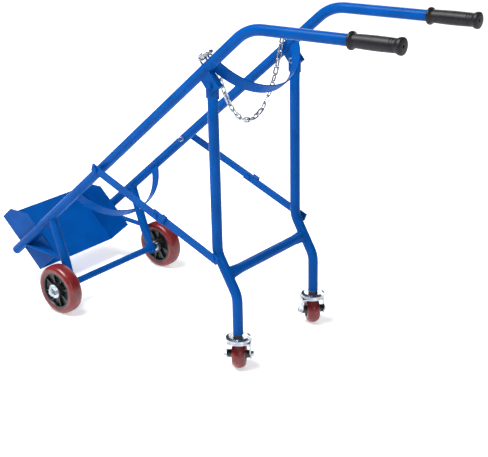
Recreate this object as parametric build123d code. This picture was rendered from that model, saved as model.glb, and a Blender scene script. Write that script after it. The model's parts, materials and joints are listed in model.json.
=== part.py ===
from build123d import *
import os
from math import asinh, atan2, cos, cosh, degrees, hypot, radians, sin, sinh, sqrt, tan

# Folding four-wheel hand truck for gas cylinders, in millimetres, standing reclined on its wheels.
# +X runs back towards the handles, +Y is the operator's right, +Z is up, and the floor is z = 0.
# Frame pieces are first built upright: +X is behind the rails, +Z runs up along them.

# ---------------------------------------------------------------- driving dimensions
TUBE_OD = 25.0
TUBE_WALL = 1.5
RAIL_GAUGE = 302.0             # between the two rail axes
RECLINE = 40.0                 # angle of the rails above the floor
RAIL_STRAIGHT = 1108.0         # rail end to the corner of the handle bend
HANDLE_BEND = 39.0
HANDLE_BEND_RADIUS = 110.0
HANDLE_LENGTH = 370.0          # corner of the bend to the end of the tube

GRIP_LENGTH = 119.0
GRIP_OD = 31.0
GRIP_FLANGE_OD = 38.0
GRIP_FLANGE = 5.0
GRIP_CAP = 4.0

BAND_WIDTH = 30.0
BAND_THICKNESS = 3.0
BAND_RADIUS = 157.0
BAND_BULGE = 98.5              # middle of a band behind the rail axes
UPPER_BAND_UP = 972.0
LOWER_BAND_UP = 342.0

SHEET = 3.0
TRAY_FRONT = 103.0             # reach in front of the rail axes
TRAY_REAR = 84.0
TRAY_UP = 18.5                 # underside of the base on the rail axes
TRAY_TILT = 8.0
CHEEK_HEIGHT = 97.0
CHEEK_FRONT_HEIGHT = 46.0
CHEEK_CHAMFER = 45.0

WHEEL_OD = 134.0
WHEEL_WIDTH = 40.0
WHEEL_RIM_OD = 100.0
HUB_WIDTH = 44.0
HUB_BORE = 28.0
WHEEL_Y = 193.0                # middle of a wheel from the centre plane
AXLE_UP = 144.5
AXLE_BACK = 176.0
AXLE_OD = 12.0
AXLE_TUBE_OD = 18.0
BRACKET_TUBE_UP = 213.5        # where a wheel bracket leaves the rail axis
STRUT_UP = 60.0
STRUT_WIDTH = 18.0
STRUT_THICKNESS = 4.0
STRUT_ANGLE = 42.0             # from straight up along the rail

LEG_PIVOT_UP = 941.0
LEG_PIVOT_BACK = 37.0
LEG_OFFSET = 56.0              # set-back of the lower legs
LEG_BEND = 30.0
LEG_BEND_RADIUS = 60.0
LEG_BEND_DROP = 446.0          # leg pivot down to the middle of the double bend
FLAT_WIDTH = 31.0              # pressed tube ends
FLAT_THICKNESS = 9.0
FLAT_TAPER = 42.0
LEG_FLAT = 30.0                # flat part of a leg below its pivot
AXLE_FLAT = 14.0               # flat part of a bracket tube before the axle
BRACKET_GAP = 10.0
BRACKET_PLATE = 3.0
BRACKET_LENGTH = 34.0
BRACKET_DEPTH = 40.0
PIVOT_BOLT_OD = 8.0
CROSS_FLARE_HEIGHT = 33.0
CROSS_FLARE_DEPTH = 18.0
CROSS_FLARE_LENGTH = 46.0

BRACE_PIVOT_UP = 494.0
BRACE_PIN_DROP = 404.0         # leg pivot down to the brace pin
UPPER_BRACE = 212.0            # rail pivot to the middle pivot
BRACE_WIDTH = 20.0
BRACE_THICKNESS = 4.0
BRACE_Y = 177.0                # middle of an upper brace half
BRACE_TAIL = 13.0
BRACE_OVERLAP = 26.0
CLIP_LENGTH = 28.0
CLIP_START = 14.0              # clear of the lower half's swinging tail
CLIP_WEB_START = 8.0           # clear of the middle rivet's head
RIVET_OD = 8.0
LEG_FOLD = 46.0

CASTER_HEIGHT = 95.0           # floor to the end of the leg tube
CASTER_WHEEL_OD = 70.0
CASTER_TYRE_WIDTH = 34.0
CASTER_HUB_OD = 40.0
CASTER_HUB_WIDTH = 46.0
CASTER_TRAIL = 12.0
CASTER_HEAD_OD = 60.0
CASTER_TURNS = (123.0, 138.0)  # directions in which the left and right wheels trail, from +X
CASTER_AXLE_OD = 8.0
KINGPIN_OD = 12.0
FORK_PLATE = 2.5
FORK_INSIDE = 55.0
FORK_SHOULDER = 15.0

EYE_UP = 957.0
EYE_WIRE = 5.0
EYE_HEIGHT = 18.0
LINK_WIRE = 4.0
LINK_PITCH = 19.0              # inside length of a link
LINK_WIDTH = 14.0
LINK_SLACK = 0.5
CHAIN_LINKS = 27
HOOK_LENGTH = 44.0
HOOK_WIDTH = 23.0
HOOK_WIRE = 4.5
HOOK_STANDOFF = 21.0           # hook's plane in front of the rail axis
HOOK_OUT = 2.0                 # hook's middle outboard of the rail axis
GATE_PIVOT = 8.0               # below the hook's middle
GATE_TIP = 9.0                 # above the hook's middle
GATE_PIN = 1.6

RUNNING = 0.05                 # radial play of a pin in a moving part
PLAY = 0.1                     # radial play of a bolt in a fixed part
GAP = 0.4                      # between parts that pass each other

# ---------------------------------------------------------------- derived places
HALF_GAUGE = RAIL_GAUGE / 2
TUBE_R = TUBE_OD / 2
SIN, COS = sin(radians(RECLINE)), cos(radians(RECLINE))
RAIL_FOOT_Z = WHEEL_OD / 2 - AXLE_UP * SIN + AXLE_BACK * COS
HANDLE_END = (RAIL_STRAIGHT + HANDLE_LENGTH * cos(radians(HANDLE_BEND)),
              HANDLE_LENGTH * sin(radians(HANDLE_BEND)))
CHEEK_FACE = HALF_GAUGE - TUBE_R                     # cheeks touch the rails' inner sides


def in_row(up, back):
    """Row-frame x and z of a place given along and behind the rail axes."""
    return up * COS + back * SIN, RAIL_FOOT_Z + up * SIN - back * COS


TRAY_CORNER = in_row(TRAY_UP - TRAY_FRONT * tan(radians(TRAY_TILT)), -TRAY_FRONT)
GRIP_TIP = in_row(HANDLE_END[0] + GRIP_CAP * cos(radians(HANDLE_BEND)),
                  HANDLE_END[1] + GRIP_CAP * sin(radians(HANDLE_BEND)))
HANDLE_SLOPE = RECLINE - HANDLE_BEND
GRIP_REACH = GRIP_TIP[0] + GRIP_FLANGE_OD / 2 * sin(radians(HANDLE_SLOPE))
SHIFT = -(TRAY_CORNER[0] + GRIP_REACH) / 2           # centres the bounding box on x = 0
recline = Location((SHIFT, 0, RAIL_FOOT_Z), (0, 90 - RECLINE, 0))


def row_point(up, back, y=0.0):
    x, z = in_row(up, back)
    return Vector(x + SHIFT, y, z)


LEG_PIVOT = row_point(LEG_PIVOT_UP, LEG_PIVOT_BACK)
LEG_X, LEG_TOP_Z = LEG_PIVOT.X, LEG_PIVOT.Z
FOOT_X = LEG_X + LEG_OFFSET
BEND_HALF = LEG_OFFSET / tan(radians(LEG_BEND)) / 2
UPPER_BEND_Z = LEG_TOP_Z - LEG_BEND_DROP + BEND_HALF
LOWER_BEND_Z = LEG_TOP_Z - LEG_BEND_DROP - BEND_HALF
AXLE = row_point(AXLE_UP, AXLE_BACK)


def leg_x(z):
    """Centre line of the legs at height z, near the upper bend."""
    tangent = LEG_BEND_RADIUS * tan(radians(LEG_BEND / 2))
    depth = UPPER_BEND_Z + tangent - z
    if depth <= 0:
        return LEG_X
    if depth < LEG_BEND_RADIUS * sin(radians(LEG_BEND)):
        return LEG_X + LEG_BEND_RADIUS - sqrt(LEG_BEND_RADIUS ** 2 - depth ** 2)
    return LEG_X + (UPPER_BEND_Z - z) * tan(radians(LEG_BEND))


BRACE_TOP = row_point(BRACE_PIVOT_UP, 0)
PIN_Z = LEG_TOP_Z - BRACE_PIN_DROP
BRACE_PIN = Vector(leg_x(PIN_Z), 0, PIN_Z)
BRACE_SPAN = BRACE_PIN - BRACE_TOP
BRACE_SLOPE = degrees(atan2(-BRACE_SPAN.Z, BRACE_SPAN.X))
LOWER_BRACE = BRACE_SPAN.length - UPPER_BRACE
BRACE_MIDDLE = BRACE_TOP + BRACE_SPAN.normalized() * UPPER_BRACE
LOWER_BRACE_Y = BRACE_Y - BRACE_THICKNESS - GAP


# ---------------------------------------------------------------- helpers
def rod(start, end, diameter, bore=0.0):
    """Round bar or tube between two points."""
    start, end = Vector(start), Vector(end)
    plane = Plane(origin=start, z_dir=end - start)
    section = Circle(diameter / 2)
    if bore:
        section -= Circle(bore / 2)
    return extrude(plane * section, (end - start).length)


def cross_rod(x, z, y0, y1, diameter, bore=0.0):
    """Round bar or tube along Y."""
    return rod((x, y0, z), (x, y1, z), diameter, bore)


def hexagon(x, z, y0, y1, across_flats, bore=0.0):
    """Hexagonal nut or bolt head along Y."""
    plane = Plane(origin=(x, y0, z), z_dir=(0, 1 if y1 > y0 else -1, 0))
    section = RegularPolygon(across_flats / 2, 6, major_radius=False)
    if bore:
        section -= Circle(bore / 2)
    return extrude(plane * section, abs(y1 - y0))


def swept_tube(path, diameter, wall):
    start = Plane(origin=path @ 0, z_dir=path % 0)
    return sweep(start * (Circle(diameter / 2) - Circle(diameter / 2 - wall)), path=path)


def swept_wire(path, diameter):
    start = Plane(origin=path @ 0, z_dir=path % 0)
    return sweep(start * Circle(diameter / 2), path=path)


def plate_xz(points, y0, y1):
    """Flat plate with an outline in XZ, from y0 to y1."""
    face = make_face(Polyline(*[(x, y0, z) for x, z in points], close=True))
    return extrude(face, abs(y1 - y0), dir=(0, 1 if y1 > y0 else -1, 0))


def strip_xz(start, end, width, y, thickness, tail_start=0.0, tail_end=0.0):
    """Flat bar along a line in XZ, centred on y, running past its two pivots."""
    way = (Vector(end) - Vector(start)).normalized()
    side = Vector(-way.Z, 0, way.X) * (width / 2)
    a, b = Vector(start) - way * tail_start, Vector(end) + way * tail_end
    corners = [a + side, b + side, b - side, a - side]
    return plate_xz([(c.X, c.Z) for c in corners], y - thickness / 2, y + thickness / 2)


def pressed_end(hole, flat, width=FLAT_WIDTH, thickness=FLAT_THICKNESS):
    """Tube end pressed flat: its eye is at the origin and the tube goes on downwards."""
    reach = flat + FLAT_TAPER
    round_end = Plane(origin=(0, 0, -reach)) * Circle(TUBE_R)
    flat_end = Plane(origin=(0, 0, -flat)) * Ellipse(width / 2, thickness / 2)
    body = loft([round_end, flat_end])
    tongue = Plane.XZ * (Circle(width / 2) + Pos(0, -flat / 2) * Rectangle(width, flat))
    body += extrude(tongue, thickness / 2, both=True)
    return body - cross_rod(0, 0, -thickness, thickness, hole)


def sides(left):
    """The piece made for the operator's left side (-Y) and its mirror image."""
    return left, mirror(left, about=Plane.XZ)


# ---------------------------------------------------------------- frame, built upright
def rail():
    top = Vector(HANDLE_END[1], -HALF_GAUGE, HANDLE_END[0])
    path = FilletPolyline((0, -HALF_GAUGE, 0), (0, -HALF_GAUGE, RAIL_STRAIGHT), top,
                          radius=HANDLE_BEND_RADIUS)
    tube = swept_tube(path, TUBE_OD, TUBE_WALL)
    bolt_hole = cross_rod(0, BRACE_PIVOT_UP, -HALF_GAUGE - TUBE_OD, -HALF_GAUGE + TUBE_OD,
                          PIVOT_BOLT_OD + 2 * PLAY)
    return tube - bolt_hole


def grip():
    """Rubber sleeve with a flange at both ends and a closed tip."""
    total, start = GRIP_LENGTH, GRIP_CAP - GRIP_LENGTH
    sleeve = Pos(0, 0, start) * extrude(Circle(GRIP_OD / 2), total)
    sleeve += Pos(0, 0, start) * extrude(Circle(GRIP_FLANGE_OD / 2), GRIP_FLANGE)
    sleeve += Pos(0, 0, GRIP_CAP - GRIP_FLANGE) * extrude(Circle(GRIP_FLANGE_OD / 2 - 1), GRIP_FLANGE)
    sleeve -= Pos(0, 0, start) * extrude(Circle(TUBE_R + RUNNING), total - GRIP_CAP)
    place = Location((HANDLE_END[1], -HALF_GAUGE, HANDLE_END[0]), (0, HANDLE_BEND, 0))
    return place * sleeve


def end_plug():
    cap = extrude(Circle(TUBE_R), -2.5)
    cap = fillet(cap.edges().group_by(Axis.Z)[0], 2.0)
    return Pos(0, -HALF_GAUGE, 0) * (cap + extrude(Circle(TUBE_R - TUBE_WALL - PLAY), 14))


def band(up):
    """Flat bar bowed behind the rails; its ends butt on them."""
    centre = BAND_BULGE - BAND_RADIUS
    ring = Circle(BAND_RADIUS + BAND_THICKNESS / 2) - Circle(BAND_RADIUS - BAND_THICKNESS / 2)
    strip = extrude(Pos(centre, 0) * ring, BAND_WIDTH / 2, both=True)
    reach = BAND_RADIUS + BAND_THICKNESS
    strip &= Pos(reach / 2, 0, 0) * Box(reach, RAIL_GAUGE, BAND_WIDTH * 2)
    for side in (-1, 1):
        strip -= Pos(0, side * HALF_GAUGE, 0) * Cylinder(TUBE_R, BAND_WIDTH * 2)
    return Pos(0, 0, up) * strip


def tray_height(back):
    """Underside of the tilted base at a place behind the rail axes."""
    return TRAY_UP + back * tan(radians(TRAY_TILT))


def tray_base():
    rise = SHEET / cos(radians(TRAY_TILT))
    outline = [(b, tray_height(b) + r) for b, r in
               ((-TRAY_FRONT, 0), (TRAY_REAR, 0), (TRAY_REAR, rise), (-TRAY_FRONT, rise))]
    return plate_xz(outline, SHEET - CHEEK_FACE, CHEEK_FACE - SHEET)


def cheek():
    outline = [(-TRAY_FRONT, tray_height(-TRAY_FRONT)),
               (TRAY_REAR, tray_height(TRAY_REAR)),
               (TRAY_REAR, tray_height(TRAY_REAR) + CHEEK_HEIGHT),
               (CHEEK_CHAMFER - TRAY_FRONT, tray_height(CHEEK_CHAMFER - TRAY_FRONT) + CHEEK_HEIGHT),
               (-TRAY_FRONT, tray_height(-TRAY_FRONT) + CHEEK_FRONT_HEIGHT)]
    return plate_xz(outline, -CHEEK_FACE, SHEET - CHEEK_FACE)


BRACKET_WAY = Vector(AXLE_BACK, 0, AXLE_UP - BRACKET_TUBE_UP)


def wheel_bracket():
    """Tube from a rail to the axle, pressed flat round the axle."""
    reach = FLAT_TAPER + AXLE_FLAT
    way = BRACKET_WAY.normalized()
    start = Vector(0, 0, BRACKET_TUBE_UP)
    end = Vector(AXLE_BACK, 0, AXLE_UP) - way * reach
    tube = rod(start, end, TUBE_OD, TUBE_OD - 2 * TUBE_WALL)
    tube -= Pos(0, 0, BRACKET_TUBE_UP) * Cylinder(TUBE_R, TUBE_OD * 4)
    tube -= Pos(-TUBE_OD * 2, 0, BRACKET_TUBE_UP) * Box(TUBE_OD * 4, TUBE_OD * 2, TUBE_OD * 4)
    turn = degrees(atan2(way.X, way.Z))
    eye = Location((AXLE_BACK, 0, AXLE_UP), (0, turn, 0)) * pressed_end(AXLE_OD + 2 * PLAY, AXLE_FLAT)
    return Pos(0, -HALF_GAUGE, 0) * (tube + eye)


def strut():
    """Flat bar from the foot of a rail to the underside of the bracket tube."""
    way = Vector(sin(radians(STRUT_ANGLE)), 0, cos(radians(STRUT_ANGLE)))
    start = Vector(0, 0, STRUT_UP - TUBE_R / tan(radians(STRUT_ANGLE)))
    bar = strip_xz(start, start + way * AXLE_BACK, STRUT_THICKNESS, 0, STRUT_WIDTH)
    bar -= Cylinder(TUBE_R, RAIL_STRAIGHT)
    bracket = BRACKET_WAY.normalized()
    foot = Vector(0, 0, BRACKET_TUBE_UP)
    bar -= rod(foot - bracket * TUBE_OD, foot + bracket * AXLE_BACK * 2, TUBE_OD)
    pieces = sorted(bar.solids(), key=lambda piece: piece.center().Z)
    return Pos(0, -HALF_GAUGE, 0) * (pieces[0] if pieces[0].center().X > 0 else pieces[1])


def leg_bracket():
    """Folded plate behind a rail: two ears and a web over the leg's eye."""
    half = BRACKET_GAP / 2
    web_up = LEG_PIVOT_UP + FLAT_WIDTH / 2 + GAP * 2
    top = web_up + BRACKET_PLATE
    outer = Pos(BRACKET_DEPTH / 2, 0, top - BRACKET_LENGTH / 2) * Box(
        BRACKET_DEPTH, BRACKET_GAP + 2 * BRACKET_PLATE, BRACKET_LENGTH)
    inner = Pos(BRACKET_DEPTH / 2, 0, web_up - BRACKET_LENGTH / 2) * Box(
        BRACKET_DEPTH * 2, 2 * half, BRACKET_LENGTH)
    body = Pos(TUBE_R, 0, 0) * (outer - inner)
    body += Pos(TUBE_R / 2, 0, top - BRACKET_LENGTH / 2) * (
        Box(TUBE_R, BRACKET_GAP + 2 * BRACKET_PLATE, BRACKET_LENGTH)
        - Pos(0, 0, -BRACKET_PLATE) * Box(TUBE_OD, BRACKET_GAP, BRACKET_LENGTH))
    body -= Pos(0, 0, LEG_PIVOT_UP) * Cylinder(TUBE_R, BRACKET_LENGTH * 4)
    body -= cross_rod(LEG_PIVOT_BACK, LEG_PIVOT_UP, -TUBE_OD, TUBE_OD, PIVOT_BOLT_OD + 2 * PLAY)
    return Pos(0, -HALF_GAUGE, 0) * body


# ---------------------------------------------------------------- bolts and axle
def leg_bolts():
    """Pivot bolt of each leg: head outside, shank across the bracket."""
    half = BRACKET_GAP / 2 + BRACKET_PLATE
    x, z = LEG_PIVOT.X, LEG_PIVOT.Z
    left = cross_rod(x, z, -HALF_GAUGE - half, -HALF_GAUGE + half + 9.0, PIVOT_BOLT_OD)
    left += hexagon(x, z, -HALF_GAUGE - half, -HALF_GAUGE - half - 5.3, 13.0)
    return sides(left)


def brace_bolts():
    """Pivot bolt of each upper brace half: through the brace, a spacer and the rail."""
    x, z = BRACE_TOP.X, BRACE_TOP.Z
    face = -BRACE_Y - BRACE_THICKNESS / 2 - GAP
    left = cross_rod(x, z, face, -HALF_GAUGE + TUBE_R + 9.5, PIVOT_BOLT_OD)
    left += hexagon(x, z, face, face - 5.3, 13.0)
    return sides(left)


def brace_spacers():
    x, z = BRACE_TOP.X, BRACE_TOP.Z
    bore = PIVOT_BOLT_OD + 2 * PLAY
    inner_end = -HALF_GAUGE - TUBE_R
    outer_end = -BRACE_Y + BRACE_THICKNESS / 2 + GAP
    left = cross_rod(x, z, outer_end, inner_end + 1.5, 14.0, bore)
    rail_axis = rod(row_point(BRACE_PIVOT_UP - 40, 0, -HALF_GAUGE),
                    row_point(BRACE_PIVOT_UP + 40, 0, -HALF_GAUGE), TUBE_OD)
    return sides(left - rail_axis)


def pivot_nuts():
    """Lock nuts of the leg bolts and the brace bolts."""
    half = BRACKET_GAP / 2 + BRACKET_PLATE
    bore = PIVOT_BOLT_OD + 2 * RUNNING
    leg_nut = hexagon(LEG_PIVOT.X, LEG_PIVOT.Z, half - HALF_GAUGE, half - HALF_GAUGE + 7.0, 13.0, bore)
    inside = TUBE_R - HALF_GAUGE
    brace_nut = hexagon(BRACE_TOP.X, BRACE_TOP.Z, inside, inside + 7.0, 13.0, bore)
    return sides(leg_nut) + sides(brace_nut)


AXLE_EYE = HALF_GAUGE + FLAT_THICKNESS / 2           # outer face of a bracket's pressed end
HUB_INNER = WHEEL_Y - HUB_WIDTH / 2
HUB_OUTER = WHEEL_Y + HUB_WIDTH / 2
WASHER = 2.0
AXLE_NUT = 10.0


def axle_shaft():
    half = HUB_OUTER + GAP + WASHER + AXLE_NUT + 3.0
    return cross_rod(AXLE.X, AXLE.Z, -half, half, AXLE_OD)


def axle_tube():
    half = HALF_GAUGE - FLAT_THICKNESS / 2
    return cross_rod(AXLE.X, AXLE.Z, -half, half, AXLE_TUBE_OD, AXLE_OD + 2 * PLAY)


def axle_washers():
    """Spacer inside and washer outside each wheel."""
    bore = AXLE_OD + 2 * PLAY
    spacer = cross_rod(AXLE.X, AXLE.Z, -AXLE_EYE, GAP - HUB_INNER, 20.0, bore)
    washer = cross_rod(AXLE.X, AXLE.Z, -HUB_OUTER - GAP, -HUB_OUTER - GAP - WASHER, 38.0, bore)
    return sides(spacer) + sides(washer)


def axle_nuts():
    start = -HUB_OUTER - GAP - WASHER
    return sides(hexagon(AXLE.X, AXLE.Z, start, start - AXLE_NUT, 19.0, AXLE_OD + 2 * RUNNING))


# ---------------------------------------------------------------- main wheels
def turned(points, y):
    """Solid of revolution about the axle from (radius, offset) points, centred on y."""
    face = make_face(Polyline(*[(AXLE.X + r, y + w, AXLE.Z) for r, w in points], close=True))
    return revolve(face, Axis((AXLE.X, y, AXLE.Z), (0, 1, 0)), 360)


def tyre():
    rim, outer, half = WHEEL_RIM_OD / 2, WHEEL_OD / 2, WHEEL_WIDTH / 2
    profile = [(rim, -half), (outer - 9, -half), (outer - 3.5, 5 - half), (outer, 12 - half),
               (outer, half - 12), (outer - 3.5, half - 5), (outer - 9, half), (rim, half)]
    return turned(profile, -WHEEL_Y)


def hub():
    rim, half = WHEEL_RIM_OD / 2, WHEEL_WIDTH / 2
    boss, web, bore = HUB_BORE / 2 + 6, 5.0, HUB_BORE / 2
    side = [(bore, HUB_WIDTH / 2), (boss, HUB_WIDTH / 2), (boss + 2, web), (rim - 7, web),
            (rim - 5, half - 2), (rim, half - 2)]
    profile = side + [(r, -w) for r, w in reversed(side)]
    return turned(profile, -WHEEL_Y)


def wheel_bearing():
    half, bore = HUB_WIDTH / 2, AXLE_OD / 2 + RUNNING
    outer = HUB_BORE / 2
    return turned([(bore, -half), (outer, -half), (outer, half), (bore, half)], -WHEEL_Y)


# ---------------------------------------------------------------- folding legs
def leg():
    reach = FLAT_TAPER + LEG_FLAT
    y = -HALF_GAUGE
    path = FilletPolyline((LEG_X, y, LEG_TOP_Z - reach), (LEG_X, y, UPPER_BEND_Z),
                          (FOOT_X, y, LOWER_BEND_Z), (FOOT_X, y, CASTER_HEIGHT),
                          radius=LEG_BEND_RADIUS)
    tube = swept_tube(path, TUBE_OD, TUBE_WALL)
    eye = Location((LEG_X, y, LEG_TOP_Z)) * pressed_end(PIVOT_BOLT_OD + 2 * RUNNING, LEG_FLAT)
    return tube + eye


def cross_tube():
    """Tube between the legs, pressed taller at both ends where it is welded."""
    z = LEG_TOP_Z - LEG_BEND_DROP
    x = LEG_X + LEG_OFFSET / 2
    straight = HALF_GAUGE - CROSS_FLARE_LENGTH
    tube = cross_rod(x, z, -straight, straight, TUBE_OD, TUBE_OD - 2 * TUBE_WALL)
    lean = Location((x, 0, z), (0, -LEG_BEND, 0))
    for side in (-1, 1):
        start = Plane(origin=(0, side * straight, 0), z_dir=(0, side, 0), x_dir=(1, 0, 0))
        end = Plane(origin=(0, side * HALF_GAUGE, 0), z_dir=(0, side, 0), x_dir=(1, 0, 0))
        outside = loft([start * Circle(TUBE_R),
                        end * Ellipse(CROSS_FLARE_DEPTH / 2, CROSS_FLARE_HEIGHT / 2)])
        inside = loft([start * Circle(TUBE_R - TUBE_WALL),
                       end * Ellipse(CROSS_FLARE_DEPTH / 2 - TUBE_WALL,
                                     CROSS_FLARE_HEIGHT / 2 - TUBE_WALL)])
        tube += lean * (outside - inside)
        way = Vector(LEG_OFFSET, 0, -2 * BEND_HALF).normalized() * 60
        middle = Vector(x, side * HALF_GAUGE, z)
        tube -= rod(middle - way, middle + way, TUBE_OD)
    inner = Pos(x, 0, z) * Box(TUBE_OD * 3, RAIL_GAUGE - 2.0, TUBE_OD * 3)
    return max((tube & inner).solids(), key=lambda piece: piece.volume)


def leg_pins():
    """Stub on the outside of each leg that carries the lower brace half."""
    end = -LOWER_BRACE_Y - BRACE_THICKNESS / 2 + BRACE_THICKNESS + GAP
    left = cross_rod(BRACE_PIN.X, BRACE_PIN.Z, -HALF_GAUGE, end, 12.0)
    path = FilletPolyline((LEG_X, -HALF_GAUGE, LEG_TOP_Z - 100), (LEG_X, -HALF_GAUGE, UPPER_BEND_Z),
                          (FOOT_X, -HALF_GAUGE, LOWER_BEND_Z), (FOOT_X, -HALF_GAUGE, CASTER_HEIGHT),
                          radius=LEG_BEND_RADIUS)
    left -= swept_wire(path, TUBE_OD)
    return sides(max(left.solids(), key=lambda piece: -piece.center().Y))


# ---------------------------------------------------------------- braces
def hole_at(point):
    return cross_rod(point.X, point.Z, -BRACE_Y - 20, -BRACE_Y + 20, RIVET_OD + 2 * RUNNING)


def upper_brace():
    bar = strip_xz(BRACE_TOP, BRACE_MIDDLE, BRACE_WIDTH, -BRACE_Y, BRACE_THICKNESS,
                   BRACE_TAIL, BRACE_OVERLAP)
    return bar - hole_at(BRACE_TOP) - hole_at(BRACE_MIDDLE)


def lower_brace():
    bar = strip_xz(BRACE_MIDDLE, BRACE_PIN, BRACE_WIDTH, -LOWER_BRACE_Y, BRACE_THICKNESS,
                   BRACE_TAIL, BRACE_TAIL)
    return bar - hole_at(BRACE_MIDDLE)


def stop_clip():
    """Lip on the upper half's top edge that stops the lower half in line."""
    way = BRACE_SPAN.normalized()
    up = Vector(-way.Z, 0, way.X)
    base = BRACE_MIDDLE + way * 2 + up * (BRACE_WIDTH / 2 + GAP / 2)
    start = base + way * CLIP_START
    corners = [start, base + way * CLIP_LENGTH, base + way * CLIP_LENGTH + up * 3, start + up * 3]
    outer = -BRACE_Y - BRACE_THICKNESS / 2
    lip = plate_xz([(c.X, c.Z) for c in corners], outer, -LOWER_BRACE_Y + BRACE_THICKNESS / 2)
    near = base + way * CLIP_WEB_START
    web = [near - up * 9, base + way * CLIP_LENGTH - up * 9, corners[2], near + up * 3]
    return lip + plate_xz([(c.X, c.Z) for c in web], outer - 2.5, outer)


def brace_rivets():
    """Middle rivet, fixed in the lower half, and the rivet head at its lower end."""
    outer = -BRACE_Y - BRACE_THICKNESS / 2 - GAP
    inner = -LOWER_BRACE_Y + BRACE_THICKNESS / 2
    middle = cross_rod(BRACE_MIDDLE.X, BRACE_MIDDLE.Z, outer, inner, RIVET_OD)
    middle += cross_rod(BRACE_MIDDLE.X, BRACE_MIDDLE.Z, inner, inner + 2.5, 14.0)
    middle += cross_rod(BRACE_MIDDLE.X, BRACE_MIDDLE.Z, outer, outer - 2.5, 12.0)
    face = -LOWER_BRACE_Y - BRACE_THICKNESS / 2
    end = cross_rod(BRACE_PIN.X, BRACE_PIN.Z, face, face - 3.0, 13.0)
    return middle, end


# ---------------------------------------------------------------- casters
CASTER_AXLE_Z = CASTER_WHEEL_OD / 2
CROWN = 3.5
RACE = 9.5
CASTER_HEX = 6.0
RACE_Z = CASTER_HEIGHT - CASTER_HEX - RACE           # underside of the upper race
CROWN_Z = RACE_Z - GAP - CROWN                       # underside of the fork crown


def at_caster(piece, side=-1):
    """Sets a caster piece, built trailing to +X, under the left (-1) or right (+1) leg."""
    turn = CASTER_TURNS[0 if side < 0 else 1]
    return Location((FOOT_X, side * HALF_GAUGE, 0), (0, 0, turn)) * piece


def caster_stems():
    """Kingpin with its foot, hexagon under the leg tube and the stem inside it."""
    foot = CROWN_Z - GAP
    pin = Pos(0, 0, foot) * extrude(Circle(KINGPIN_OD / 2), CASTER_HEIGHT - foot)
    pin += Pos(0, 0, foot) * extrude(Circle(9.0), -3.0)
    pin += Pos(0, 0, CASTER_HEIGHT) * extrude(RegularPolygon(11.0, 6, major_radius=False), -CASTER_HEX)
    pin += Pos(0, 0, CASTER_HEIGHT) * extrude(Circle(TUBE_R - TUBE_WALL - PLAY), 30.0)
    return at_caster(pin), at_caster(pin, 1)


def caster_races():
    """Pressed upper race: a dish with a rolled rim over the fork crown."""
    radius = CASTER_HEAD_OD / 2
    dish = Pos(0, 0, RACE_Z) * extrude(Circle(radius), RACE)
    dish = chamfer(dish.edges().group_by(Axis.Z)[-1], 3.0, 7.0)
    dish -= Pos(0, 0, RACE_Z) * extrude(Circle(radius - 3.0), 3.0)
    dish += Pos(0, 0, RACE_Z) * extrude(Circle(16.0), 3.0)
    dish -= Pos(0, 0, RACE_Z) * extrude(Circle(KINGPIN_OD / 2 + PLAY), RACE)
    return at_caster(dish), at_caster(dish, 1)


def caster_fork():
    """Pressed fork: an arch with rounded shoulders, tapering down to the axle."""
    outside, top = FORK_INSIDE / 2 + FORK_PLATE, CROWN_Z + CROWN
    eye = Vector(CASTER_TRAIL, 0, CASTER_AXLE_Z)

    def arch(half, height, shoulder):
        block = Pos(0, 0, height / 2) * Box(200, 2 * half, height)
        return fillet(block.edges().filter_by(Axis.X).group_by(Axis.Z)[-1], shoulder)

    body = arch(outside, top, FORK_SHOULDER) - arch(FORK_INSIDE / 2, CROWN_Z, FORK_SHOULDER - FORK_PLATE)
    flank = [(-29, top), (-29, CROWN_Z - 12), (-20, eye.Z + 16), (eye.X - 14, eye.Z + 2),
             (eye.X - 9, eye.Z - 9), (eye.X, eye.Z - 13), (eye.X + 9, eye.Z - 9),
             (eye.X + 13, eye.Z), (eye.X + 11, eye.Z + 16), (27, top)]
    body &= plate_xz(flank, -outside - 1, outside + 1)
    plan = extrude(Circle(outside) + Pos(outside, 0) * Rectangle(2 * outside, 2 * outside + 2), top + 1)
    body &= plan
    body -= Pos(0, 0, CROWN_Z) * extrude(Circle(KINGPIN_OD / 2 + RUNNING), CROWN)
    return body - cross_rod(eye.X, eye.Z, -outside - 1, outside + 1, CASTER_AXLE_OD + 2 * PLAY)


def caster_bolt():
    """Axle bolt: a head and a shank through both arms."""
    outside = FORK_INSIDE / 2 + FORK_PLATE
    x, z = CASTER_TRAIL, CASTER_AXLE_Z
    bolt = cross_rod(x, z, -outside, outside + 8.0, CASTER_AXLE_OD)
    return bolt + hexagon(x, z, -outside, -outside - 5.0, 13.0)


def caster_nut():
    outside = FORK_INSIDE / 2 + FORK_PLATE
    return hexagon(CASTER_TRAIL, CASTER_AXLE_Z, outside, outside + 6.5, 13.0,
                   CASTER_AXLE_OD + 2 * RUNNING)


def caster_turned(points):
    face = make_face(Polyline(*[(CASTER_TRAIL + r, w, CASTER_AXLE_Z) for r, w in points], close=True))
    return revolve(face, Axis((CASTER_TRAIL, 0, CASTER_AXLE_Z), (0, 1, 0)), 360)


def caster_tyre():
    rim, outer, half = CASTER_HUB_OD / 2, CASTER_WHEEL_OD / 2, CASTER_TYRE_WIDTH / 2
    return caster_turned([(rim, -half), (outer - 8, -half), (outer - 3, 4 - half), (outer, 11 - half),
                          (outer, half - 11), (outer - 3, half - 4), (outer - 8, half), (rim, half)])


def caster_hub():
    rim, half = CASTER_HUB_OD / 2, CASTER_TYRE_WIDTH / 2
    bore, end = CASTER_AXLE_OD / 2 + RUNNING, FORK_INSIDE / 2 - GAP
    return caster_turned([(bore, -end), (10, -end), (10, -half), (rim, -half), (rim, half),
                          (10, half), (10, end), (bore, end)])


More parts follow.
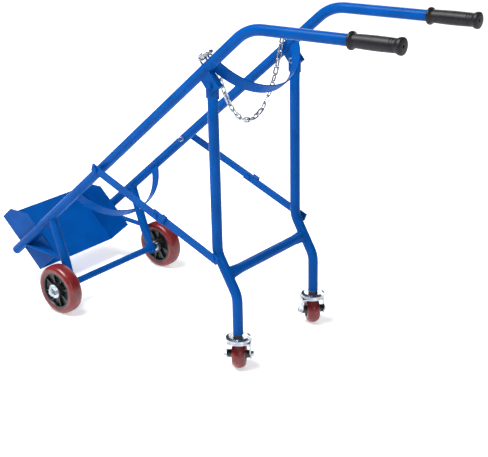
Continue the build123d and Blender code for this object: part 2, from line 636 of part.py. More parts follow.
# ---------------------------------------------------------------- snap hook, built upright
EYE_HALF = 9.0                                       # half the spread of an eye's two feet
HOOK_R = (HOOK_WIDTH - HOOK_WIRE) / 2
HOOK_RUN = (HOOK_LENGTH - HOOK_WIDTH) / 2
HOOK_Y = -HALF_GAUGE - HOOK_OUT
HOOK_SIT = sqrt(HOOK_R ** 2 - HOOK_OUT ** 2)         # lowest bow where it crosses the eye
HOOK_UP = EYE_UP - EYE_HALF + EYE_WIRE / 2 + GAP + HOOK_WIRE / 2 + HOOK_RUN + HOOK_SIT
GATE_SIDE = HOOK_Y - HOOK_R


def chain_eye(side):
    """Wire staple on the front of a rail; its loop stands in the rails' lengthwise plane."""
    y = side * HALF_GAUGE
    reach = -TUBE_R - EYE_HEIGHT
    path = FilletPolyline((3 - TUBE_R, y, EYE_UP - EYE_HALF), (reach, y, EYE_UP - EYE_HALF),
                          (reach, y, EYE_UP + EYE_HALF), (3 - TUBE_R, y, EYE_UP + EYE_HALF),
                          radius=EYE_HALF * 0.6)
    return swept_wire(path, EYE_WIRE) - Pos(0, y, EYE_UP) * Cylinder(TUBE_R, 4 * EYE_HALF)


def oval(run, radius, wire):
    """Closed oval of round wire in XY, long axis on X."""
    path = Wire([Line((-run, radius), (run, radius)),
                 ThreePointArc((run, radius), (run + radius, 0), (run, -radius)),
                 Line((run, -radius), (-run, -radius)),
                 ThreePointArc((-run, -radius), (-run - radius, 0), (-run, radius))])
    return sweep(Plane(origin=(0, radius, 0), z_dir=(1, 0, 0)) * Circle(wire / 2), path=path)


def snap_hook():
    """Oval wire body, open on its outer side, with a slot for the gate."""
    ring = oval(HOOK_RUN, HOOK_R, HOOK_WIRE)
    frame = Plane(origin=(-HOOK_STANDOFF, HOOK_Y, HOOK_UP), x_dir=(0, 0, 1), z_dir=(1, 0, 0))
    body = frame.location * ring
    low, high = HOOK_UP - GATE_PIVOT + HOOK_WIRE / 2, HOOK_UP + GATE_TIP
    body -= Pos(-HOOK_STANDOFF, GATE_SIDE, (low + high) / 2) * Box(
        HOOK_WIRE * 2, HOOK_WIRE * 2, high - low)
    slot = Pos(-HOOK_STANDOFF, GATE_SIDE, low - 3.0) * Box(2.4, HOOK_WIRE * 2, 6.0)
    body -= slot
    across = rod((-HOOK_STANDOFF - HOOK_WIRE / 2 - 0.4, GATE_SIDE, HOOK_UP - GATE_PIVOT),
                 (-HOOK_STANDOFF + HOOK_WIRE / 2 + 0.4, GATE_SIDE, HOOK_UP - GATE_PIVOT), GATE_PIN)
    return body + across


def hook_gate():
    """Round bar closing the hook, with a flat tongue on its pivot."""
    pivot = HOOK_UP - GATE_PIVOT
    start, end = pivot + HOOK_WIRE / 2 + 1.4, HOOK_UP + GATE_TIP - GAP
    bar = rod((-HOOK_STANDOFF, GATE_SIDE, start), (-HOOK_STANDOFF, GATE_SIDE, end), HOOK_WIRE)
    tongue = rod((-HOOK_STANDOFF - 0.8, GATE_SIDE, pivot), (-HOOK_STANDOFF + 0.8, GATE_SIDE, pivot), 3.6)
    tongue += Pos(-HOOK_STANDOFF, GATE_SIDE, (pivot + start) / 2) * Box(1.6, 3.6, start - pivot)
    hole = rod((-HOOK_STANDOFF - 2, GATE_SIDE, pivot), (-HOOK_STANDOFF + 2, GATE_SIDE, pivot),
               GATE_PIN + 2 * RUNNING)
    return bar + tongue - hole


# ---------------------------------------------------------------- chain
def catenary(start, end, length, count):
    """Middles and directions of equal steps along a hanging chain between two points."""
    span = hypot(end.X - start.X, end.Y - start.Y)
    rise = end.Z - start.Z
    low, high = 10.0, 1000.0
    for _ in range(60):
        a = (low + high) / 2
        if 2 * a * sinh(span / 2 / a) > sqrt(length ** 2 - rise ** 2):
            low = a
        else:
            high = a
    lowest = span / 2 - a * asinh(rise / (2 * a * sinh(span / 2 / a)))
    flat = Vector((end.X - start.X) / span, (end.Y - start.Y) / span, 0)
    begin = a * sinh(-lowest / a)
    places = []
    for i in range(count):
        u = a * asinh((begin + (i + 0.5) * length / count) / a)
        height = a * cosh(u / a) - a * cosh(lowest / a)
        slope = sinh(u / a)
        way = (flat + Vector(0, 0, slope)).normalized()
        places.append((start + flat * (u + lowest) + Vector(0, 0, height), way))
    return places


def chain_places():
    """Middle, direction and flat side of every link, from the far eye to the hook."""
    up_rail = Vector(COS, 0, SIN)
    step = LINK_PITCH - LINK_SLACK
    wire_r, lean = EYE_WIRE / 2, 32.0
    eye = row_point(EYE_UP, -TUBE_R - EYE_HEIGHT, HALF_GAUGE)
    behind = Vector(SIN, 0, -COS)
    first_way = Vector(0, -1, 0) * cos(radians(lean)) + behind * sin(radians(lean))
    first = eye + first_way * (LINK_PITCH / 2 - wire_r - LINK_SLACK)
    hang = eye + first_way * (step - wire_r)
    resting = EYE_UP + EYE_HALF + EYE_WIRE / 2 + GAP + LINK_WIRE / 2
    spine = row_point(resting, -HOOK_STANDOFF, HOOK_Y + HOOK_R)
    last_way = Vector(0, -1, 0) * cos(radians(40)) - behind * sin(radians(40))
    last = spine - last_way * (LINK_PITCH / 2 - HOOK_WIRE / 2 - LINK_SLACK)
    arrive = spine - last_way * (step - HOOK_WIRE / 2)
    inner = catenary(hang, arrive, step * (CHAIN_LINKS - 2), CHAIN_LINKS - 2)
    places = [(first, first_way)] + inner + [(last, last_way)]
    across = (arrive - hang).cross(Vector(0, 0, 1)).normalized()
    framed = []
    for i, (centre, way) in enumerate(places):
        near_end = min(i, len(places) - 1 - i)
        share = max(0.0, 1 - near_end / 4)
        side = (up_rail * share - across * (1 - share))
        side = (side - way * side.dot(way)).normalized()
        framed.append((centre, way, way.cross(side) if i % 2 else side))
    return framed


def chain():
    """Oval links; the first goes round the far eye, the last round the hook."""
    run = (LINK_PITCH + 2 * LINK_WIRE - LINK_WIDTH) / 2
    pattern = oval(run, (LINK_WIDTH - LINK_WIRE) / 2, LINK_WIRE)
    return [Plane(origin=centre, x_dir=way, z_dir=normal).location * pattern
            for centre, way, normal in chain_places()]


# ---------------------------------------------------------------- parts
def save(name, *pieces):
    solids = []
    for piece in pieces:
        solids += piece if isinstance(piece, (list, tuple)) else [piece]
    shape = solids[0] if len(solids) == 1 else Compound(children=list(solids))
    export_step(shape, f"parts/{name}.step")


def save_pair(name, *left):
    """Pieces on the operator's left and their mirror images on the right."""
    save(f"left_{name}", *left)
    save(f"right_{name}", *[mirror(piece, about=Plane.XZ) for piece in left])


def main():
    os.makedirs("parts", exist_ok=True)
    save_pair("rail", recline * rail())
    save_pair("grip", recline * grip())
    save("rail_end_plugs", sides(recline * end_plug()))
    save("upper_band", recline * band(UPPER_BAND_UP))
    save("lower_band", recline * band(LOWER_BAND_UP))
    save("tray_base", recline * tray_base())
    save_pair("tray_cheek", recline * cheek())
    save_pair("wheel_bracket", recline * wheel_bracket())
    save_pair("strut", recline * strut())
    save_pair("leg_bracket", recline * leg_bracket())
    save("leg_bolts", leg_bolts())
    save("brace_bolts", brace_bolts())
    save("brace_spacers", brace_spacers())
    save("pivot_nuts", pivot_nuts())
    save("axle_tube", axle_tube())
    save("axle_shaft", axle_shaft())
    save("axle_washers", axle_washers())
    save("axle_nuts", axle_nuts())
    save_pair("tyre", tyre())
    save_pair("hub", hub())
    save_pair("wheel_bearing", wheel_bearing())
    save_pair("leg", leg())
    save("leg_cross_tube", cross_tube())
    save("leg_brace_pins", leg_pins())
    save("caster_stems", caster_stems())
    save("caster_races", caster_races())
    middle, end = brace_rivets()
    save_pair("upper_brace", upper_brace())
    save_pair("stop_clip", stop_clip())
    save_pair("lower_brace", lower_brace())
    save_pair("brace_rivets", middle, end)
    for side, name in ((-1, "left"), (1, "right")):
        save(f"{name}_caster_fork", at_caster(caster_fork(), side))
        save(f"{name}_caster_axle", at_caster(caster_bolt(), side), at_caster(caster_nut(), side))
        save(f"{name}_caster_tyre", at_caster(caster_tyre(), side))
        save(f"{name}_caster_hub", at_caster(caster_hub(), side))
    save("chain_eyes", [recline * chain_eye(-1), recline * chain_eye(1)])
    save("snap_hook", recline * snap_hook())
    save("snap_hook_gate", recline * hook_gate())
    save("chain", chain())


if __name__ == "__main__":
    main()
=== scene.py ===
# %% [markdown]
# # A folding hand truck for gas cylinders
# The truck leans on two solid wheels and a pair of folding caster legs. Its frame is welded steel tube under
# blue powder coat. The moving frame comes ready made, so this lesson gives it finishes, light and a camera,
# and models the pieces whose detail a plain solid can't show: grips, wheels and welds.

import json
import math

import bmesh
import bpy
from mathutils import Matrix, Vector
from mathutils.bvhtree import BVHTree


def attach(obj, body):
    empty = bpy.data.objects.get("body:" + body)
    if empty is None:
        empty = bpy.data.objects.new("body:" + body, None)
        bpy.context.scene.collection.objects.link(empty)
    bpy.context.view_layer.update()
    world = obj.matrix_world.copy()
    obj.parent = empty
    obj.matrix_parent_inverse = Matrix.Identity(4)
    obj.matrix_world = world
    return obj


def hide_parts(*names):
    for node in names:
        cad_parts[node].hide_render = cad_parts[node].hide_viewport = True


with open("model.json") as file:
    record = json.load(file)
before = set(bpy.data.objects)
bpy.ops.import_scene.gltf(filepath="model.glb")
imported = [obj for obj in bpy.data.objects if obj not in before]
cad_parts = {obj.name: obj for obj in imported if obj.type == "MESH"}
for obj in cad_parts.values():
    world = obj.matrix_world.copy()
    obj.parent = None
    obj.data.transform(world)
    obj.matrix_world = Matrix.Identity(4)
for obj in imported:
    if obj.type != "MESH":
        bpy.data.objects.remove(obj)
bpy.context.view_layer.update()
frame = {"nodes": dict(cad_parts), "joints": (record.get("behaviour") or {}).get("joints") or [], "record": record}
nodes = frame["nodes"]
joints = {joint["name"]: joint for joint in frame["joints"]}

# %% [markdown]
# ## Finding places on a leaning frame
# The rails lie 40 degrees above the floor. It is easier to say "940 mm up the rail and 37 mm behind it" than
# to work out heights, so one helper turns such a place into scene coordinates. The wheel axle anchors it.

# %% Places along the rails
MM = 0.001
LEAN = math.radians(40)
UP_RAIL = Vector((math.cos(LEAN), 0, math.sin(LEAN)))
BEHIND = Vector((math.sin(LEAN), 0, -math.cos(LEAN)))
ACROSS = Vector((0, 1, 0))
HALF_GAUGE = 151.0
TUBE_R = 12.5
AXLE_UP, AXLE_BACK = 144.5, 176.0
BRACKET_UP = 213.5
HANDLE_UP, HANDLE_REACH = 1108.0, 370.0
CROSS_TUBE_AHEAD, CROSS_TUBE_DROP = 28, 446
AXLE = Vector(joints["left_wheel_spin"]["pos_m"])
RAIL_FOOT = Vector((AXLE.x, 0, AXLE.z)) - UP_RAIL * AXLE_UP * MM - BEHIND * AXLE_BACK * MM


def place(up, back, y=0.0):
    """A point up the rails and behind them, in millimetres."""
    return RAIL_FOOT + UP_RAIL * up * MM + BEHIND * back * MM + ACROSS * y * MM


print("rail foot", [round(c, 4) for c in RAIL_FOOT])

# %% [markdown]
# ## Building materials from nodes
# A finish is a Principled shader whose colour, roughness and bump vary a little from place to place, as on
# real surfaces. Colours are written as the familiar sRGB hex values and turned to linear by one function.
# One small helper adds any node, sets its values and joins it up.

# %% Material helpers
def linear(hex_colour):
    """sRGB hex such as 1058c0 as linear RGBA."""
    parts = [int(hex_colour[i:i + 2], 16) / 255 for i in (0, 2, 4)]
    return tuple(c / 12.92 if c <= 0.04045 else ((c + 0.055) / 1.055) ** 2.4 for c in parts) + (1.0,)


def add(tree, kind, settings=None, links=None):
    """Adds a node; settings are attributes or inputs by name, links are input name to output socket."""
    node = tree.nodes.new(kind)
    for key, value in (settings or {}).items():
        if key in node.inputs:
            node.inputs[key].default_value = value
        else:
            setattr(node, key, value)
    for key, socket in (links or {}).items():
        tree.links.new(socket, node.inputs[key])
    return node


def start_material(name, **shader):
    """A new material with its shader's own values set."""
    material = bpy.data.materials.new(name)
    material.use_nodes = True
    tree = material.node_tree
    principled = tree.nodes["Principled BSDF"]
    for key, value in shader.items():
        principled.inputs[key.replace("_", " ")].default_value = value
    place_at = add(tree, "ShaderNodeTexCoord").outputs["Object"]
    return material, tree, principled, place_at


def ramp(tree, factor, stops):
    """Colour ramp over a factor; stops are (position, hex)."""
    node = add(tree, "ShaderNodeValToRGB", links={"Fac": factor})
    node.color_ramp.elements[0].position, node.color_ramp.elements[1].position = stops[0][0], stops[-1][0]
    node.color_ramp.elements[0].color, node.color_ramp.elements[1].color = linear(stops[0][1]), linear(stops[-1][1])
    for position, colour in stops[1:-1]:
        node.color_ramp.elements.new(position).color = linear(colour)
    return node.outputs["Color"]


def spread(tree, factor, low, high):
    """Maps a 0 to 1 factor onto a range of roughness or strength."""
    return add(tree, "ShaderNodeMapRange", {"To Min": low, "To Max": high}, {"Value": factor}).outputs["Result"]


def per_mm(size):
    """Noise scale that gives features of about this many millimetres."""
    return 1.0 / (size * MM)


# %% [markdown]
# ## Blue powder coat
# Powder coat is polyester baked on steel. It is glossy but not a mirror, with the faint ripple called orange
# peel, about 2 mm across. The film thins on sharp edges and pools at welds, so the colour drifts slightly.
# Pointiness isn't used for edges: it depends on the mesh, and the tubes have none.

# %% Powder coat
powder, tree, shader, at = start_material("blue_powder_coat", Metallic=0.0, IOR=1.32, Specular_IOR_Level=0.1)
drift = add(tree, "ShaderNodeTexNoise", {"Scale": per_mm(60), "Detail": 3.0}, {"Vector": at}).outputs["Fac"]
tree.links.new(ramp(tree, drift, [(0.35, "02448a"), (0.5, "034790"), (0.65, "034a96")]), shader.inputs["Base Color"])
peel = add(tree, "ShaderNodeTexNoise", {"Scale": per_mm(2.2), "Detail": 1.0}, {"Vector": at}).outputs["Fac"]
dust = add(tree, "ShaderNodeTexNoise", {"Scale": per_mm(14), "Detail": 4.0}, {"Vector": at}).outputs["Fac"]
tree.links.new(spread(tree, dust, 0.2, 0.3), shader.inputs["Roughness"])
bump = add(tree, "ShaderNodeBump", {"Strength": 0.12, "Distance": 0.0004}, {"Height": peel})
tree.links.new(bump.outputs["Normal"], shader.inputs["Normal"])

# %% [markdown]
# ## Bright zinc plate
# Casters, chain and washers are steel with bright zinc. It mirrors its surroundings, blurred by fine pits and
# drawing lines, with a cool tint and duller patches.

# %% Zinc
zinc, tree, shader, at = start_material("bright_zinc_plate", Metallic=1.0)
patch = add(tree, "ShaderNodeTexNoise", {"Scale": per_mm(9), "Detail": 4.0}, {"Vector": at}).outputs["Fac"]
tree.links.new(ramp(tree, patch, [(0.3, "868c94"), (0.55, "aab0b7"), (0.75, "ccd0d4")]), shader.inputs["Base Color"])
tree.links.new(spread(tree, patch, 0.26, 0.12), shader.inputs["Roughness"])
pits = add(tree, "ShaderNodeTexNoise", {"Scale": per_mm(1.2), "Detail": 2.0}, {"Vector": at}).outputs["Fac"]
bump = add(tree, "ShaderNodeBump", {"Strength": 0.10, "Distance": 0.0003}, {"Height": pits})
tree.links.new(bump.outputs["Normal"], shader.inputs["Normal"])

# %% [markdown]
# ## Fastener steel
# Nuts, bolts and rivets have a duller, blue-white zinc over machined steel. Fine turning marks are stretched
# noise, drawn coarser than real marks so that they show.

# %% Fastener steel
fastener, tree, shader, at = start_material("zinc_plated_fastener", Metallic=1.0)
stretched = add(tree, "ShaderNodeMapping", {"Scale": (1.0, 6.0, 1.0)}, {"Vector": at}).outputs["Vector"]
marks = add(tree, "ShaderNodeTexNoise", {"Scale": per_mm(4), "Detail": 3.0}, {"Vector": stretched}).outputs["Fac"]
tree.links.new(ramp(tree, marks, [(0.3, "8f98a4"), (0.7, "c3c9d0")]), shader.inputs["Base Color"])
tree.links.new(spread(tree, marks, 0.26, 0.44), shader.inputs["Roughness"])

# %% [markdown]
# ## Red polyurethane tread
# The tyres are cast polyurethane bonded to the core: a deep oxide red, satin, slightly translucent at thin
# edges, scuffed duller where it rolls.

# %% Polyurethane
tread, tree, shader, at = start_material("cast_polyurethane_red", Metallic=0.0, IOR=1.5, Subsurface_Weight=0.08,
                                         Subsurface_Scale=0.004)
cloud = add(tree, "ShaderNodeTexNoise", {"Scale": per_mm(22), "Detail": 4.0}, {"Vector": at}).outputs["Fac"]
tree.links.new(ramp(tree, cloud, [(0.3, "5c1012"), (0.5, "6e1718"), (0.72, "7e2021")]), shader.inputs["Base Color"])
scuff = add(tree, "ShaderNodeTexNoise", {"Scale": per_mm(5), "Detail": 5.0}, {"Vector": at}).outputs["Fac"]
tree.links.new(spread(tree, scuff, 0.2, 0.42), shader.inputs["Roughness"])
bump = add(tree, "ShaderNodeBump", {"Strength": 0.15, "Distance": 0.0005}, {"Height": scuff})
tree.links.new(bump.outputs["Normal"], shader.inputs["Normal"])

# %% [markdown]
# ## Black moulded plastics
# The wheel cores are glass-filled nylon: black, satin, with a fine spark-eroded grain. The grips are soft
# PVC dipped or moulded over the tube: a shade greyer, and blurrier in its highlights.

# %% Nylon and PVC
nylon, tree, shader, at = start_material("glass_filled_nylon_black", Metallic=0.0, IOR=1.53)
grain = add(tree, "ShaderNodeTexNoise", {"Scale": per_mm(1.6), "Detail": 2.0}, {"Vector": at}).outputs["Fac"]
tree.links.new(ramp(tree, grain, [(0.35, "0c0d0f"), (0.7, "17191b")]), shader.inputs["Base Color"])
tree.links.new(spread(tree, grain, 0.26, 0.42), shader.inputs["Roughness"])
bump = add(tree, "ShaderNodeBump", {"Strength": 0.15, "Distance": 0.0003}, {"Height": grain})
tree.links.new(bump.outputs["Normal"], shader.inputs["Normal"])

pvc, tree, shader, at = start_material("soft_pvc_grip_black", Metallic=0.0, IOR=1.42, Specular_IOR_Level=0.35)
mottle = add(tree, "ShaderNodeTexNoise", {"Scale": per_mm(7), "Detail": 4.0}, {"Vector": at}).outputs["Fac"]
tree.links.new(ramp(tree, mottle, [(0.3, "0d0c11"), (0.7, "18171e")]), shader.inputs["Base Color"])
tree.links.new(spread(tree, mottle, 0.38, 0.56), shader.inputs["Roughness"])
leathery = add(tree, "ShaderNodeTexNoise", {"Scale": per_mm(1.8), "Detail": 3.0}, {"Vector": at}).outputs["Fac"]
bump = add(tree, "ShaderNodeBump", {"Strength": 0.25, "Distance": 0.0004}, {"Height": leathery})
tree.links.new(bump.outputs["Normal"], shader.inputs["Normal"])

FINISH = {"blue_paint": powder, "zinc": zinc, "fastener_steel": fastener, "red_tyre": tread,
          "hub_plastic": nylon, "black_plastic": nylon, "grip_rubber": pvc}

# %% [markdown]
# ## Giving every node its finish
# The record says which slot each node takes, so one loop paints the whole frame. New pieces go through
# `show`, which puts a bmesh into the scene, makes its faces point outwards, gives it a finish and lets it
# ride on a moving body.

# %% Paint the frame
for part in frame["record"]["subparts"]:
    mesh = nodes[part["node"]].data
    mesh.materials.clear()
    mesh.materials.append(FINISH[part["material_slot"]])


def show(name, bm, body, slot, stands_for=(), smooth=35):
    """Turns a bmesh into a piece of the truck, smooth up to an angle between its faces."""
    bmesh.ops.remove_doubles(bm, verts=bm.verts, dist=1e-6)
    bmesh.ops.recalc_face_normals(bm, faces=bm.faces)
    mesh = bpy.data.meshes.new(name)
    bm.to_mesh(mesh)
    bm.free()
    mesh.materials.append(FINISH[slot])
    piece = bpy.data.objects.new(name, mesh)
    bpy.context.scene.collection.objects.link(piece)
    for face in mesh.polygons:
        face.use_smooth = True
    mesh.set_sharp_from_angle(angle=math.radians(smooth))
    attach(piece, body)
    if stands_for:
        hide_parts(*stands_for)
    return piece


def axes_at(origin, along, sideways):
    """Matrix whose Z runs along a direction, X near another."""
    z = Vector(along).normalized()
    x = (Vector(sideways) - z * z.dot(Vector(sideways))).normalized()
    turn = Matrix((x, z.cross(x), z)).transposed().to_4x4()
    return Matrix.Translation(origin) @ turn


def turned(bm, profile, matrix, steps=64):
    """Spins a closed (radius, height) profile in millimetres round the matrix's Z axis.

    Finished vertices are tagged, so that several shapes can share one bmesh.
    """
    ring = [bm.verts.new((r * MM, 0, z * MM)) for r, z in profile]
    edges = [bm.edges.new((ring[i], ring[(i + 1) % len(ring)])) for i in range(len(ring))]
    bmesh.ops.spin(bm, geom=ring + edges, cent=(0, 0, 0), axis=(0, 0, 1), angle=math.tau,
                   steps=steps, use_merge=True)
    bmesh.ops.remove_doubles(bm, verts=[v for v in bm.verts if not v.tag], dist=1e-6)
    new = [v for v in bm.verts if not v.tag]
    bmesh.ops.transform(bm, matrix=matrix, verts=new)
    for v in bm.verts:
        v.tag = True


# %% [markdown]
# ## Main wheels
# Each wheel is a cast polyurethane tyre on a nylon core. Both are round, so each is one profile spun round
# the axle. The tyre has a nearly flat tread with mould lines and full, rounded shoulders. The core has a
# flanged rim, a sunk web stiffened by radial ribs and a raised boss round the bearing.

# %% Tyre and core profiles
def mirrored(half):
    """Closes a (radius, height) half profile with its mirror image below."""
    return half + [(r, -z) for r, z in reversed(half)]


TYRE = mirrored([(50, 18.6), (52.5, 19.4), (55.5, 20), (58.6, 19.6), (61.6, 18.2), (64.2, 15.6), (65.9, 12.2),
                 (66.6, 9.4), (66.8, 6.4), (66.4, 6.0), (66.4, 5.4), (66.9, 5.0), (67, 2.0)])
CORE = mirrored([(14, 21.8), (18.6, 22), (19.8, 21.2), (20.6, 12), (22.5, 8.2), (41.5, 8.0), (43.8, 9.4),
                 (44.8, 17.2), (45.6, 18.2), (48.6, 18.6), (50, 18.2)])


def ribs(bm, matrix, count, inner, outer, thickness, low, high, faces_out):
    """Radial ribs on the side of the core that faces out (1) or in (-1)."""
    for i in range(count):
        made = bmesh.ops.create_cube(bm, size=1.0)["verts"]
        length, height = (outer - inner) * MM, (high - low) * MM
        bmesh.ops.scale(bm, vec=(length, thickness * MM, height), verts=made)
        middle = ((outer + inner) / 2 * MM, 0, faces_out * (high + low) / 2 * MM)
        bmesh.ops.translate(bm, vec=middle, verts=made)
        bmesh.ops.rotate(bm, cent=(0, 0, 0), matrix=Matrix.Rotation(math.tau * (i + 0.3) / count, 3, "Z"), verts=made)
        bmesh.ops.transform(bm, matrix=matrix, verts=made)
        for v in made:
            v.tag = True


for side, name in ((-1, "left"), (1, "right")):
    middle = Vector(joints[f"{name}_wheel_spin"]["pos_m"])
    hub_axes = axes_at(middle, (0, side, 0), (1, 0, 0))
    bm = bmesh.new()
    turned(bm, TYRE, hub_axes, 96)
    show(f"{name}_polyurethane_tyre", bm, f"{name}_wheel", "red_tyre", (f"{name}_tyre",))
    bm = bmesh.new()
    turned(bm, CORE, hub_axes, 96)
    for facing in (1, -1):
        ribs(bm, hub_axes, 8, 20.0, 44.4, 3.4, 7.5, 14.5, facing)
    show(f"{name}_nylon_core", bm, f"{name}_wheel", "hub_plastic", (f"{name}_hub",))
print("main wheels made")

# %% [markdown]
# ## Caster wheels
# The caster tyres are crowned, so they turn on the spot without scrubbing. The core shows only as a rim and
# a hub end on each side.

# %% Caster wheels
CASTER_TYRE = mirrored([(20, 15.8), (23.4, 16.6), (26.5, 16.2), (29, 14.6), (31.2, 12.0), (33, 8.8), (34.2, 5.4),
                        (34.9, 2.0), (35, 0.6)])
CASTER_CORE = mirrored([(4.05, 27.1), (8.6, 27.1), (9.6, 26.2), (10, 16), (11.5, 13), (17.2, 13), (18.4, 15.6),
                        (20, 15.8)])
for name in ("left", "right"):
    joint = joints[f"{name}_caster_roll"]
    wheel_axes = axes_at(joint["pos_m"], joint["axis"], (0, 0, 1))
    bm = bmesh.new()
    turned(bm, CASTER_TYRE, wheel_axes, 72)
    show(f"{name}_crowned_tyre", bm, f"{name}_caster_wheel", "red_tyre", (f"{name}_caster_tyre",))
    bm = bmesh.new()
    turned(bm, CASTER_CORE, wheel_axes, 48)
    show(f"{name}_caster_core", bm, f"{name}_caster_wheel", "hub_plastic", (f"{name}_caster_hub",))

# %% [markdown]
# ## Handle grips
# A soft PVC grip is moulded in one piece: a thick guard ring, a body that swells slightly in the palm, two
# shallow finger rings and a wider end with a small hole where the core pin left the mould. All of it is
# round, so it is one spun profile with the tube's bore inside.

# %% Grips
GRIP = [(12.6, 0), (17.2, 0), (18.6, 1.0), (19, 3.0), (18.8, 5.2), (17.6, 7.2), (15.6, 8.6), (14.5, 10.4), (14.3, 14),
        (15.0, 34), (15.4, 58), (15.1, 84), (14.8, 92.5), (14.0, 93.4), (14.0, 94.8), (14.8, 95.7), (14.8, 98.2),
        (14.0, 99.1), (14.0, 100.5), (14.8, 101.4), (14.9, 105), (15.8, 108.2), (17.3, 110.4), (18, 112.8),
        (18, 116.2), (17.4, 118.2), (16, 119), (3.4, 119), (2.6, 118.2), (2.6, 115.6), (12.6, 115)]
GRIP_DEPTH = 115
BEND = math.radians(39)
HANDLE = UP_RAIL * math.cos(BEND) + BEHIND * math.sin(BEND)
for side, name in ((-1, "left"), (1, "right")):
    tube_end = place(HANDLE_UP + HANDLE_REACH * math.cos(BEND), HANDLE_REACH * math.sin(BEND), side * HALF_GAUGE)
    bm = bmesh.new()
    turned(bm, GRIP, axes_at(tube_end - HANDLE * GRIP_DEPTH * MM, HANDLE, (0, 0, 1)), 56)
    show(f"{name}_pvc_grip", bm, "frame", "grip_rubber", (f"{name}_grip",))

# %% [markdown]
# ## Weld beads
# Wherever a tube end meets another tube, a MIG weld runs round it: a rope of overlapping ripples under the
# paint. A bead is found by shining rays along the joining tube on to the piece that it meets, which gives
# the true saddle line. A closed curve through those points, a little thicker and thinner along its length,
# becomes the bead.

# %% Weld beads
def surface(*names):
    """One search tree over the faces of CAD nodes."""
    verts, faces = [], []
    for name in names:
        start = len(verts)
        verts += [v.co.copy() for v in nodes[name].data.vertices]
        faces += [[start + i for i in face.vertices] for face in nodes[name].data.polygons]
    return BVHTree.FromPolygons(verts, faces)


def weld(name, outline, start, along, onto, body, thick=2.1, sideways=(0, 1, 0)):
    """A bead where an outline in millimetres, moved along a direction, lands on other nodes."""
    matrix = axes_at(start, along, sideways)
    tree = surface(*onto)
    line = []
    for x, y in outline:
        begin = matrix @ Vector((x * MM, y * MM, 0))
        hit = tree.ray_cast(begin, Vector(along).normalized())[0]
        if hit is not None:
            line.append(hit)
    if len(line) < len(outline) * 0.6:
        print("weld", name, "found only", len(line), "points")
        return None
    curve = bpy.data.curves.new(name, "CURVE")
    curve.dimensions = "3D"
    curve.bevel_depth = thick * MM
    curve.bevel_resolution = 2
    spline = curve.splines.new("POLY")
    spline.points.add(len(line) - 1)
    spline.use_cyclic_u = len(line) == len(outline)
    for i, (point, where) in enumerate(zip(spline.points, line)):
        point.co = (*where, 1)
        point.radius = 1.0 + (0.16 if i % 2 else -0.1)
    holder = bpy.data.objects.new(name, curve)
    bpy.context.scene.collection.objects.link(holder)
    bpy.context.view_layer.update()
    bm = bmesh.new()
    bm.from_mesh(bpy.data.meshes.new_from_object(holder.evaluated_get(bpy.context.evaluated_depsgraph_get())))
    bpy.data.objects.remove(holder)
    bmesh.ops.holes_fill(bm, edges=[e for e in bm.edges if e.is_boundary])
    return show(name, bm, body, "blue_paint", smooth=60)


def circle(radius, count=56):
    return [(radius * math.cos(math.tau * i / count), radius * math.sin(math.tau * i / count)) for i in range(count)]


def slab(width, depth, count=14):
    """Points round a flat bar's end."""
    corners = [(-width / 2, -depth / 2), (width / 2, -depth / 2), (width / 2, depth / 2), (-width / 2, depth / 2)]
    points = []
    for i in range(4):
        (x0, y0), (x1, y1) = corners[i], corners[(i + 1) % 4]
        steps = count if i % 2 == 0 else max(2, count // 6)
        points += [(x0 + (x1 - x0) * k / steps, y0 + (y1 - y0) * k / steps) for k in range(steps)]
    return points


BRACKET_WAY = (place(AXLE_UP, AXLE_BACK) - place(BRACKET_UP, 0)).normalized()
for side, name in ((-1, "left"), (1, "right")):
    y = side * HALF_GAUGE
    weld(f"{name}_bracket_weld", circle(TUBE_R), place(BRACKET_UP, 0, y) + BRACKET_WAY * 0.06, -BRACKET_WAY,
         [f"{name}_rail"], "frame")
    leg_middle = Vector(joints["leg_fold"]["pos_m"]) + Vector((CROSS_TUBE_AHEAD * MM, y * MM, -CROSS_TUBE_DROP * MM))
    weld(f"{name}_cross_tube_weld", [(x * 0.74, z * 1.28) for x, z in circle(TUBE_R)],
         leg_middle - ACROSS * side * 30 * MM, ACROSS * side, [f"{name}_leg"], "legs",
         sideways=Vector((math.cos(math.radians(30)), 0, math.sin(math.radians(30)))))
    weld(f"{name}_axle_tube_weld", circle(9.0, 36), Vector((AXLE.x, (y - side * 20) * MM, AXLE.z)), ACROSS * side,
         [f"{name}_wheel_bracket"], "frame", 1.6)
print("welds made")
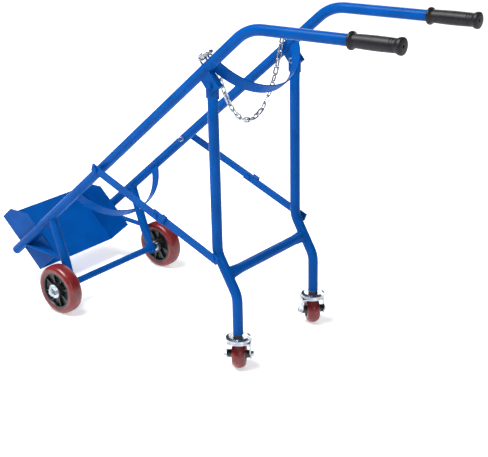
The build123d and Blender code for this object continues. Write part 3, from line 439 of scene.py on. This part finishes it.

# %% [markdown]
# ## Light, floor and camera
# A large soft light overhead and two weaker fills give long clean highlights on the round tubes. The floor is
# a white sweep with a painted glow. It glows less under the truck, so the soft shadows of the wheels still show
# there, and more further out. The camera stands behind the truck on the operator's left.

# %% Camera
view_turn, view_down, view_roll = math.radians(-39.57), math.radians(21.82), math.radians(-1.29)
forward = Vector((math.sin(view_turn) * math.cos(view_down), math.cos(view_turn) * math.cos(view_down),
                  -math.sin(view_down)))
level = Vector((math.cos(view_turn), -math.sin(view_turn), 0))
upright = level.cross(forward)
right = level * math.cos(view_roll) + upright * math.sin(view_roll)
top = upright * math.cos(view_roll) - level * math.sin(view_roll)
camera = bpy.data.objects.new("camera", bpy.data.cameras.new("camera"))
bpy.context.scene.collection.objects.link(camera)
camera.data.lens = 78.64
camera.data.sensor_width = 36.0
camera.data.clip_end = 50
stand = Vector((RAIL_FOOT.x + 2.2448, -1.8684, 1.2592))
camera.matrix_world = Matrix.Translation(stand) @ Matrix((right, top, -forward)).transposed().to_4x4()
bpy.context.scene.camera = camera
print("camera", [round(c, 3) for c in stand])

# %% Floor and light
bm = bmesh.new()
bmesh.ops.create_grid(bm, x_segments=2, y_segments=2, size=40.0)
floor_mesh = bpy.data.meshes.new("floor")
bm.to_mesh(floor_mesh)
bm.free()
floor = bpy.data.objects.new("floor", floor_mesh)
bpy.context.scene.collection.objects.link(floor)
paper, tree, shader, at = start_material("white_backdrop_paper", Metallic=0.0, Roughness=0.8)
shader.inputs["Base Color"].default_value = linear("f4f4f7")
shader.inputs["Emission Color"].default_value = (1, 1, 1, 1)
# Painted glow: the floor emits light of its own. It is dimmer within about 0.9 m of the middle, under the truck, and
# brighter beyond 2.4 m.
from_middle = add(tree, "ShaderNodeVectorMath", {"operation": "LENGTH"}, {0: at}).outputs["Value"]
painted_glow = add(tree, "ShaderNodeMapRange", {"From Min": 0.9, "From Max": 2.4, "To Min": 0.5, "To Max": 0.9},
           {"Value": from_middle}).outputs["Result"]
tree.links.new(painted_glow, shader.inputs["Emission Strength"])
floor_mesh.materials.append(paper)


def soft_light(name, where, size, watts, colour):
    lamp = bpy.data.lights.new(name, "AREA")
    lamp.shape = "RECTANGLE"
    lamp.size, lamp.size_y = size
    lamp.energy = watts
    lamp.color = linear(colour)[:3]
    holder = bpy.data.objects.new(name, lamp)
    bpy.context.scene.collection.objects.link(holder)
    holder.location = where
    holder.rotation_euler = (Vector((0, 0, 0.4)) - Vector(where)).to_track_quat("-Z", "Y").to_euler()


soft_light("overhead_softbox", (-0.6, -1.2, 3.2), (2.0, 1.4), 175, "ffffff")
soft_light("camera_side_fill", (3.0, -1.6, 1.6), (1.4, 1.4), 22, "f4f8ff")
soft_light("far_side_fill", (-1.0, 3.0, 2.0), (2.5, 1.5), 40, "ffffff")
world = bpy.data.worlds.new("studio")
bpy.context.scene.world = world
world.use_nodes = True
world.node_tree.nodes["Background"].inputs["Color"].default_value = (1, 1, 1, 1)
world.node_tree.nodes["Background"].inputs["Strength"].default_value = 0.12
bpy.context.scene.view_settings.view_transform = "Standard"
